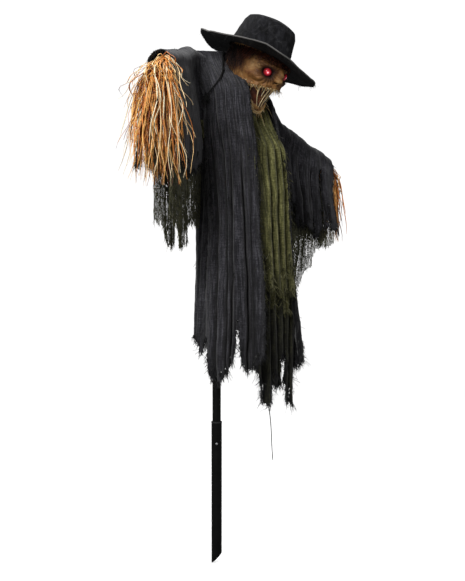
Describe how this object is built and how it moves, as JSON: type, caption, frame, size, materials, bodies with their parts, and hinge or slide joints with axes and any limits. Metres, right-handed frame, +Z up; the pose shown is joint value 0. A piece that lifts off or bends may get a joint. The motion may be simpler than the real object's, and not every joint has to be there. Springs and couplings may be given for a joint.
{
  "type": "scarecrow figure",
  "caption": "Seasonal scarecrow figure on a two-piece ground stake, with a floppy hat, glowing-eyed mask, ragged gauze coat and straw hands on swinging arms.",
  "frame": {"origin": "point of the stake, on the pole's axis", "axes": "+Z up along the pole; the figure faces -Y, so its right hand is on the -X side"},
  "size_m": [1.0441, 0.3913, 1.7866],
  "materials": {
    "tube": "black powder coat, semi-gloss",
    "steel": "bright zinc plate",
    "black_plastic": "moulded black plastic",
    "mask": "moulded mask painted to look like tanned sackcloth",
    "jaw": "moulded jaw painted tan",
    "twine": "pale hemp twine",
    "eye": "clear red lens, glows when the lamp is on",
    "felt": "charcoal felt",
    "hair": "dark red-brown fibre",
    "straw": "dyed raffia straw",
    "coat": "open-weave charcoal gauze",
    "green": "olive-green crinkled gauze",
    "rag": "grey-green frayed cheesecloth",
    "wire": "insulated two-core wire",
    "cell": "plain printed battery wrap"
  },
  "bodies": {
    "stake": {"stake_tube": "tube", "stake_bush": "black_plastic"},
    "pole": {"pole_tube": "tube", "pole_screw": "steel", "spine_tube": "tube", "button_spring": "steel", "right_shoulder_plate": "tube", "left_shoulder_plate": "tube", "lower_bolt": "steel", "upper_bolt": "steel", "shoulder_bar": "tube", "right_fork": "tube", "left_fork": "tube", "right_arm_pin": "steel", "left_arm_pin": "steel", "battery_box": "black_plastic", "right_battery": "cell", "left_battery": "cell", "right_contact": "steel", "left_contact": "steel", "bridge_contact": "steel", "door_hinge_pin": "steel", "body_lead": "wire", "coat_back": "coat", "coat_front_right": "coat", "coat_front_left": "coat", "coat_right_shoulder": "coat", "coat_left_shoulder": "coat", "coat_collar": "coat", "green_cloth": "green", "ragged_layer": "rag"},
    "snap_button": {"snap_button": "steel"},
    "right_arm": {"right_arm": "tube", "right_straw_tie": "twine", "right_straw_hand": "straw", "right_sleeve": "coat", "right_sleeve_gauze": "rag"},
    "left_arm": {"left_arm": "tube", "left_straw_tie": "twine", "left_straw_hand": "straw", "left_sleeve": "coat", "left_sleeve_gauze": "rag"},
    "head": {"skull_shell": "black_plastic", "face_mask": "mask", "right_eye_lens": "eye", "left_eye_lens": "eye", "right_led_holder": "black_plastic", "left_led_holder": "black_plastic", "eye_leads": "wire", "jaw": "jaw", "mouth_lacing": "twine", "neck_socket": "black_plastic", "neck_connector": "black_plastic", "head_base": "black_plastic", "right_hair": "hair", "left_hair": "hair", "hat_crown": "felt", "hat_brim": "felt"},
    "battery_door": {"battery_door": "black_plastic"},
    "switch": {"switch_slider": "black_plastic"}
  },
  "joints": [
    {"name": "pole_pull", "type": "slide", "parent": "stake", "child": "pole", "axis": [0, 0, 1], "range_m": [0, 0.14], "deforming": ["snap_button"]},
    {"name": "snap_button_press", "type": "slide", "parent": "pole", "child": "snap_button", "axis": [0.7071, 0.7071, 0], "range_m": [0, 0.0052], "stiffness_N_per_m": 600, "springref_m": -0.003, "deforming": ["button_spring"]},
    {"name": "right_arm_swing", "type": "hinge", "parent": "pole", "child": "right_arm", "pos_m": [-0.15787, -0.035, 1.63946], "axis": [0, 0, 1], "range_deg": [-30, 18]},
    {"name": "left_arm_swing", "type": "hinge", "parent": "pole", "child": "left_arm", "pos_m": [0.15787, -0.035, 1.52454], "axis": [0, 0, -1], "range_deg": [-24, 22]},
    {"name": "head_turn", "type": "hinge", "parent": "pole", "child": "head", "pos_m": [0, -0.162, 1.668], "axis": [0, -0.5446, 0.8387], "range_deg": [-16, 16]},
    {"name": "battery_door_hinge", "type": "hinge", "parent": "pole", "child": "battery_door", "pos_m": [0, -0.0412, 1.183], "axis": [1, 0, 0], "range_deg": [0, 100]},
    {"name": "switch_slide", "type": "slide", "parent": "pole", "child": "switch", "axis": [0, 0, 1], "range_m": [0, 0.0055]}
  ]
}
